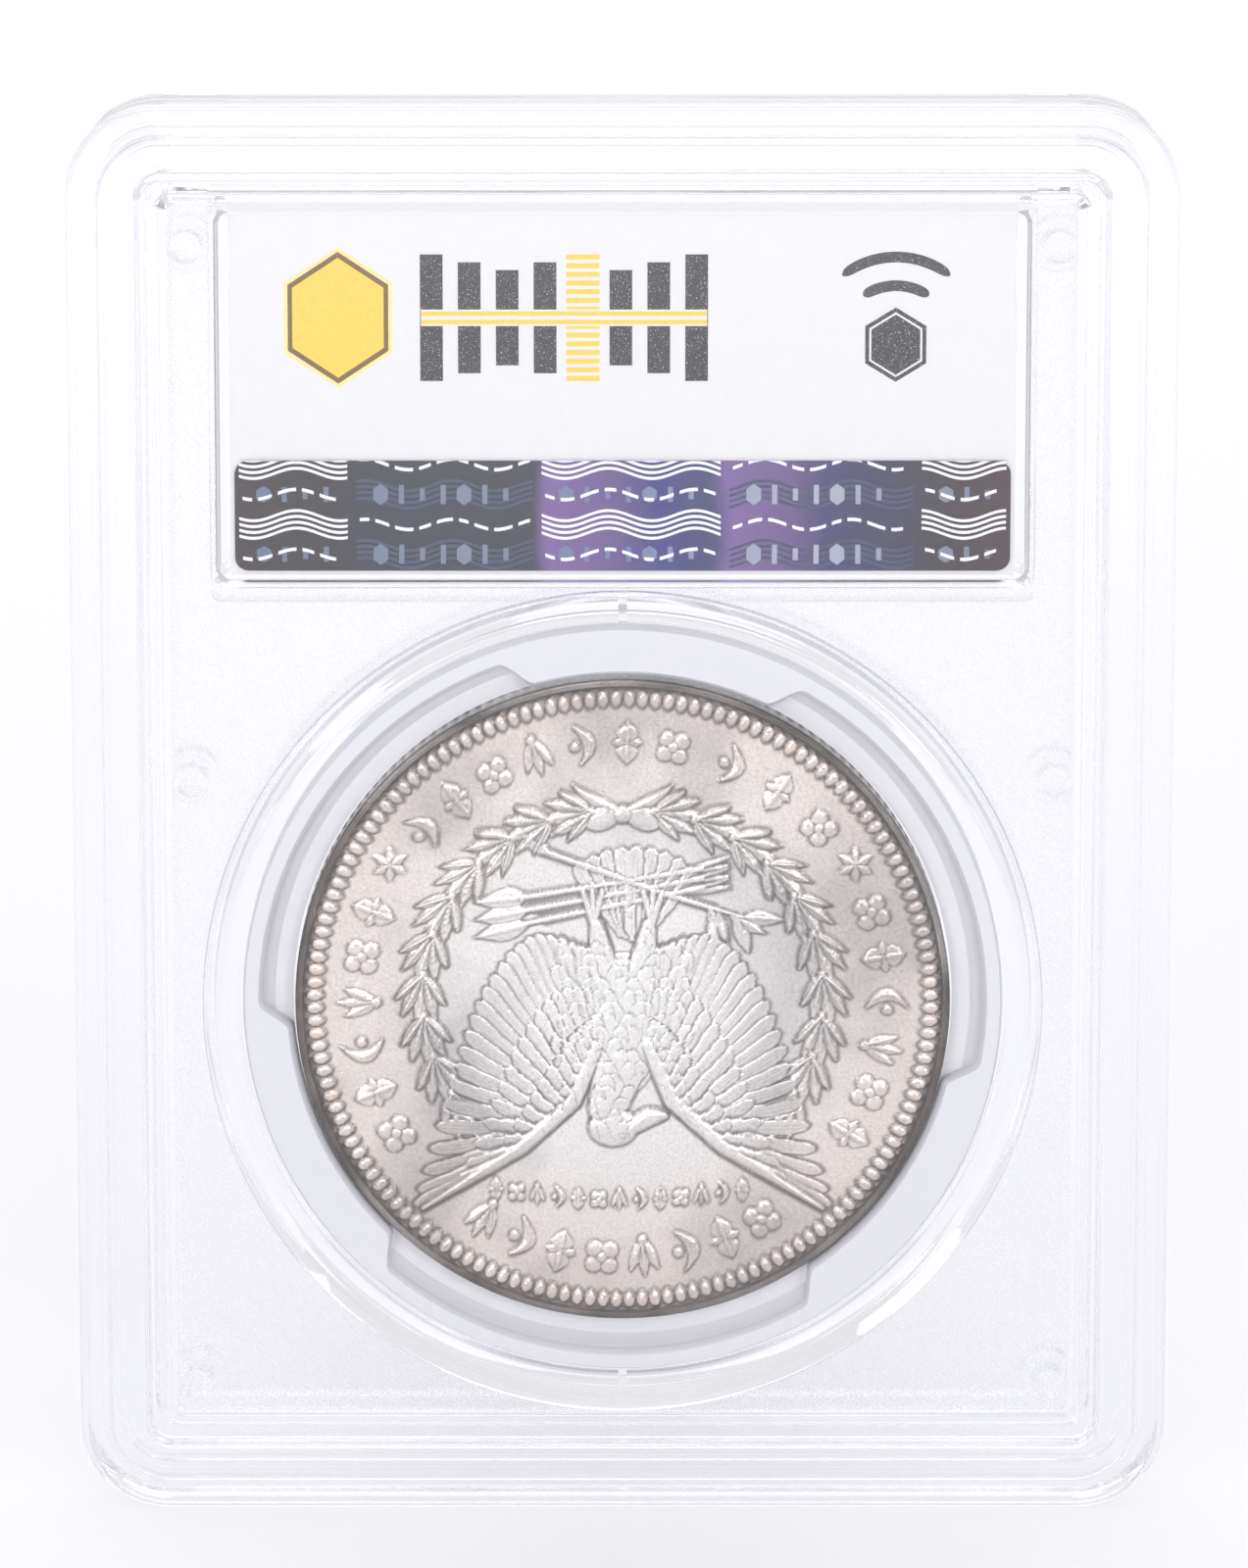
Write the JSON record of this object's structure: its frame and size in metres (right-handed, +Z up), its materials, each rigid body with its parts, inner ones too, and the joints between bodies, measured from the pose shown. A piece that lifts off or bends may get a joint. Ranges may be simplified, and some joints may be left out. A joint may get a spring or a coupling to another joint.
{
  "type": "graded coin slab",
  "caption": "Sealed clear plastic holder for a graded dollar-size coin, with a gasket ring round the coin, a label window above it and stacking ridges on both faces.",
  "frame": {"origin": "middle of the bottom edge, on the ground, in the seam plane between the two shells", "axes": "+Z up towards the label, +Y out of the front face, -Y out of the rear face that the picture shows, +X to the right seen from the rear"},
  "size_m": [0.0636, 0.0078, 0.0825],
  "materials": {
    "rear_shell_plastic": "clear moulded polystyrene, polished windows and a finely frosted field",
    "front_shell_plastic": "clear moulded polystyrene, polished windows and a finely frosted field",
    "gasket": "pale translucent flexible plastic",
    "coin_silver": "struck silver with light rose and gold toning at the rim",
    "label_paper": "smooth white printed card",
    "hologram_foil": "dark diffractive foil with pale wave lines",
    "tag_film": "thin clear film",
    "tag_metal": "etched foil track",
    "chip_resin": "black moulded chip"
  },
  "bodies": {
    "root": {"rear_shell": "rear_shell_plastic", "front_shell": "front_shell_plastic", "gasket_ring": "gasket", "coin": "coin_silver", "rear_label": "label_paper", "front_label": "label_paper", "hologram_strip": "hologram_foil", "tag_film": "tag_film", "tag_antenna": "tag_metal", "tag_chip": "chip_resin"}
  },
  "joints": []
}
